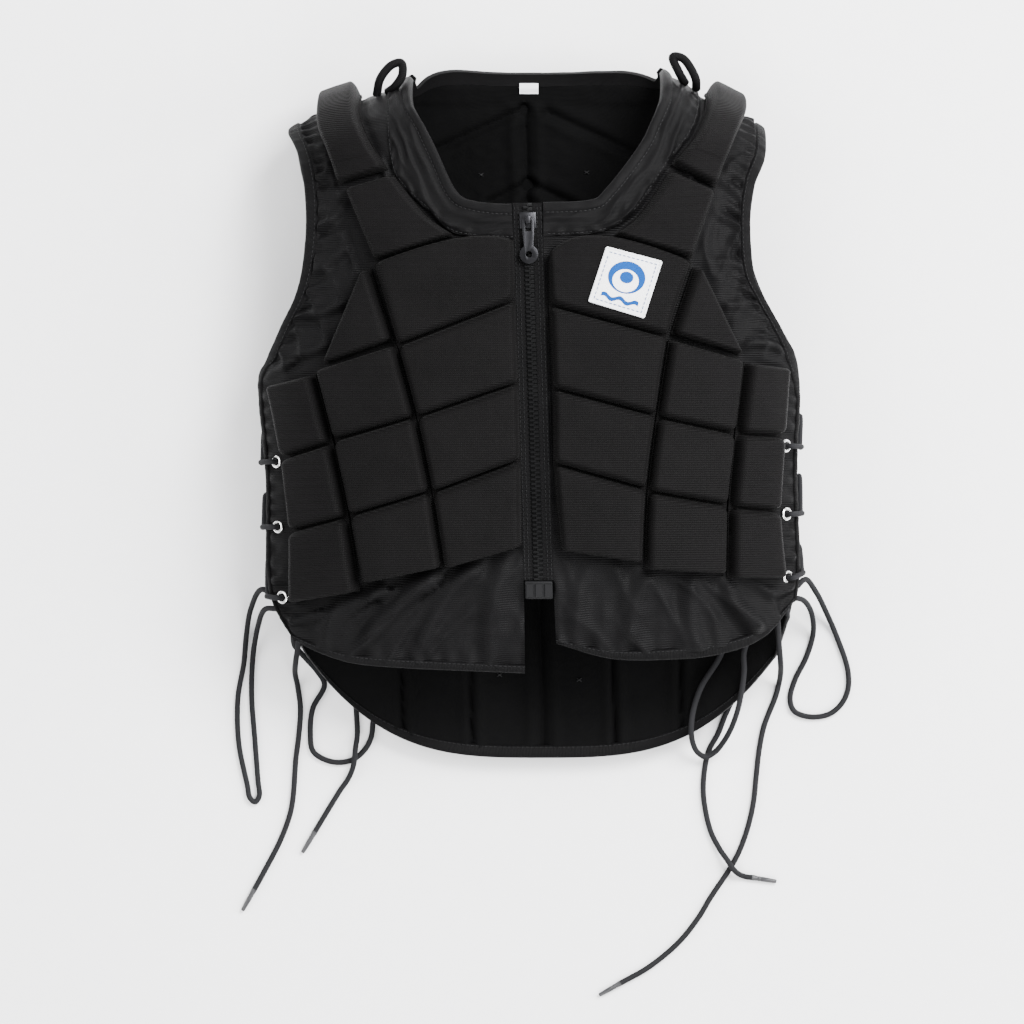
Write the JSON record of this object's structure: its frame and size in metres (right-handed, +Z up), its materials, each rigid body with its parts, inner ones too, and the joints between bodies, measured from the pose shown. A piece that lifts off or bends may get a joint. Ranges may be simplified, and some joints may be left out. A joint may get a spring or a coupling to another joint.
{
  "type": "equestrian body protector",
  "caption": "Black padded riding vest with a front zip, lace-adjusted sides, cut-out armholes and a soft neck band, laid flat on its back.",
  "frame": {"origin": "middle of the vest's box in plan, on the floor under the flat outer face of the back pads", "axes": "+X to the wearer's left, +Y from the hem to the neck, +Z up out of the chest"},
  "size_m": [0.4964, 0.7572, 0.1498],
  "materials": {
    "shell_fabric": "fine ribbed polyester weave",
    "padded_fabric": "fine ribbed weave over closed-cell foam",
    "lining": "smooth black lining",
    "cord": "braided polyester cord",
    "label": "woven label",
    "zip_plastic": "moulded satin",
    "zip_metal": "satin grey metal",
    "steel": "bright nickel"
  },
  "bodies": {
    "vest": {"front_right_shell": "shell_fabric", "front_right_hem_binding": "shell_fabric", "right_edge_binding": "shell_fabric", "right_pad_column_1": "padded_fabric", "right_pad_column_2": "padded_fabric", "right_pad_column_3": "padded_fabric", "right_armpit_pad": "padded_fabric", "right_chest_pad": "padded_fabric", "right_shoulder_pad": "padded_fabric", "back_right_pads": "padded_fabric", "zip_tape_right": "shell_fabric", "right_hang_loop": "cord", "front_right_eyelet_1": "steel", "front_right_eyelet_2": "steel", "front_right_eyelet_3": "steel", "back_right_eyelet_1": "steel", "back_right_eyelet_2": "steel", "back_right_eyelet_3": "steel", "right_lacing": "cord", "right_cord_side_loop": "cord", "right_cord_long_end": "cord", "right_cord_hem_loop": "cord", "right_cord_short_end": "cord", "right_tip_long_end": "zip_plastic", "right_tip_short_end": "zip_plastic", "front_left_shell": "shell_fabric", "front_left_hem_binding": "shell_fabric", "left_edge_binding": "shell_fabric", "left_pad_column_1": "padded_fabric", "left_pad_column_2": "padded_fabric", "left_pad_column_3": "padded_fabric", "left_armpit_pad": "padded_fabric", "left_chest_pad": "padded_fabric", "left_shoulder_pad": "padded_fabric", "back_left_pads": "padded_fabric", "zip_tape_left": "shell_fabric", "left_hang_loop": "cord", "front_left_eyelet_1": "steel", "front_left_eyelet_2": "steel", "front_left_eyelet_3": "steel", "back_left_eyelet_1": "steel", "back_left_eyelet_2": "steel", "back_left_eyelet_3": "steel", "left_lacing": "cord", "left_cord_side_loop": "cord", "left_cord_long_end": "cord", "left_cord_hem_loop": "cord", "left_cord_short_end": "cord", "left_tip_long_end": "zip_plastic", "left_tip_short_end": "zip_plastic", "back_shell": "lining", "back_centre_pads": "padded_fabric", "back_hem_binding": "shell_fabric", "neck_band": "shell_fabric", "zip_chain": "zip_plastic", "zip_box": "zip_plastic", "zip_slider": "zip_metal", "chest_patch": "label", "neck_tag": "label"},
    "pull": {"zip_pull": "zip_metal"}
  },
  "joints": [
    {"name": "zip_pull_swing", "type": "hinge", "parent": "vest", "child": "pull", "pos_m": [-0.00302, 0.14768, 0.13365], "axis": [-0.9996, -0.0295, 0.0026], "range_deg": [0, 150]}
  ]
}
